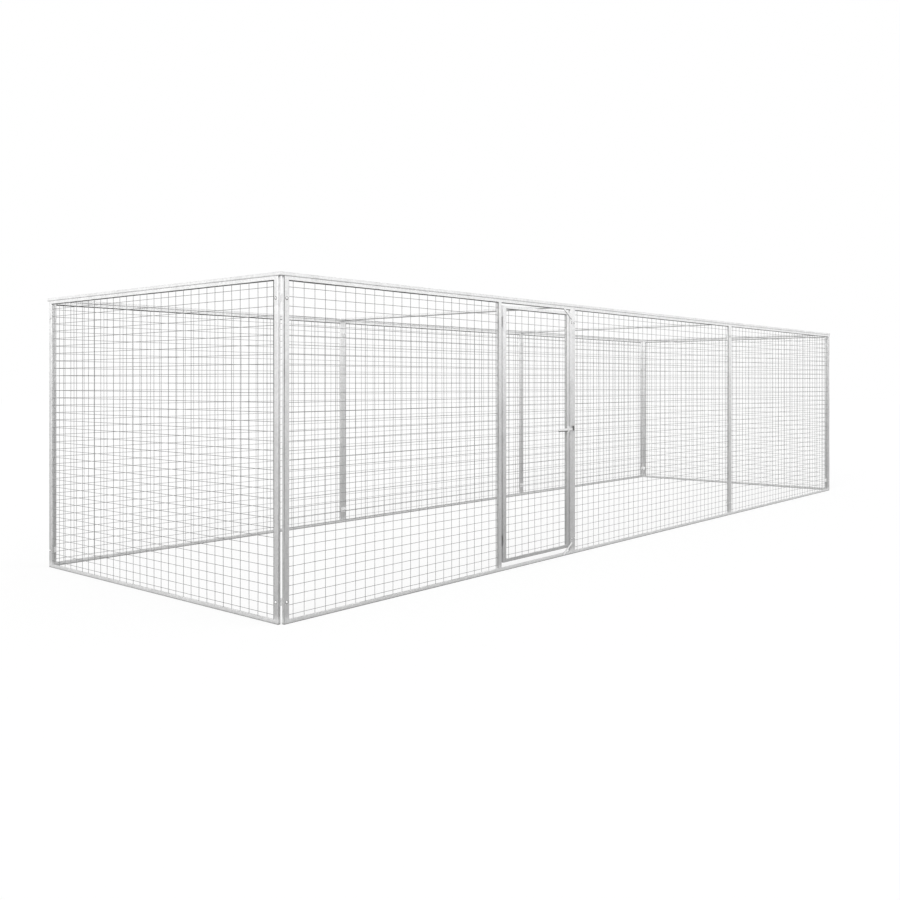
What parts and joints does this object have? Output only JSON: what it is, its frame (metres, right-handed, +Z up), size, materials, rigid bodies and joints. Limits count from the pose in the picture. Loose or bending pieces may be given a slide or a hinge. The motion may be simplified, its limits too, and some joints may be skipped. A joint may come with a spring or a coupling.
{
  "type": "walk-in cat enclosure",
  "caption": "Walk-in outdoor cat run of galvanised tube frames with welded wire mesh walls, roof tubes over an open top, and a mesh door with a lever latch",
  "frame": {"origin": "on the ground, under the middle of the run", "axes": "+X along the front wall from the door end to the far end, +Y from the front wall to the back wall, +Z up"},
  "size_m": [8.1582, 2.4666, 1.8203],
  "materials": {
    "galvanised_tube": "hot-dip galvanised, pale grey with faint spangle",
    "galvanised_wire": "galvanised drawn wire, grey",
    "zinc_plated": "bright zinc plating"
  },
  "bodies": {
    "enclosure": {"back_left_frame": "galvanised_tube", "back_left_mesh": "galvanised_wire", "back_middle_frame": "galvanised_tube", "back_middle_mesh": "galvanised_wire", "back_right_frame": "galvanised_tube", "back_right_mesh": "galvanised_wire", "corner_back_left_lower": "zinc_plated", "corner_back_left_upper": "zinc_plated", "corner_back_right_lower": "zinc_plated", "corner_back_right_upper": "zinc_plated", "corner_front_left_lower": "zinc_plated", "corner_front_left_upper": "zinc_plated", "corner_front_right_lower": "zinc_plated", "corner_front_right_upper": "zinc_plated", "door_jamb": "galvanised_tube", "door_stop_bottom": "galvanised_tube", "door_stop_top": "galvanised_tube", "end_left_frame": "galvanised_tube", "end_left_mesh": "galvanised_wire", "end_right_frame": "galvanised_tube", "end_right_mesh": "galvanised_wire", "front_left_frame": "galvanised_tube", "front_left_mesh": "galvanised_wire", "front_middle_frame": "galvanised_tube", "front_middle_mesh": "galvanised_wire", "front_right_frame": "galvanised_tube", "front_right_mesh": "galvanised_wire", "hinge_bottom_post_half": "zinc_plated", "hinge_top_post_half": "zinc_plated", "joint_back_1_lower": "zinc_plated", "joint_back_1_upper": "zinc_plated", "joint_back_2_lower": "zinc_plated", "joint_back_2_upper": "zinc_plated", "joint_front_1_lower": "zinc_plated", "joint_front_1_upper": "zinc_plated", "joint_front_2_lower": "zinc_plated", "joint_front_2_upper": "zinc_plated", "latch_keeper": "zinc_plated", "roof_left_frame": "galvanised_tube", "roof_middle_frame": "galvanised_tube", "roof_right_frame": "galvanised_tube"},
    "door": {"door_frame": "galvanised_tube", "door_mesh": "galvanised_wire", "hinge_top_door_half": "zinc_plated", "hinge_bottom_door_half": "zinc_plated", "latch_pivot": "zinc_plated"},
    "latch": {"latch_lever": "zinc_plated"}
  },
  "joints": [
    {"name": "door_hinge", "type": "hinge", "parent": "enclosure", "child": "door", "pos_m": [-2.1963, -1.208, 0.9], "axis": [0, 0, 1], "range_deg": [0, 110]},
    {"name": "latch_turn", "type": "hinge", "parent": "door", "child": "latch", "pos_m": [-1.4153, -1.231, 0.91], "axis": [0, -1, 0], "range_deg": [0, 85]}
  ]
}
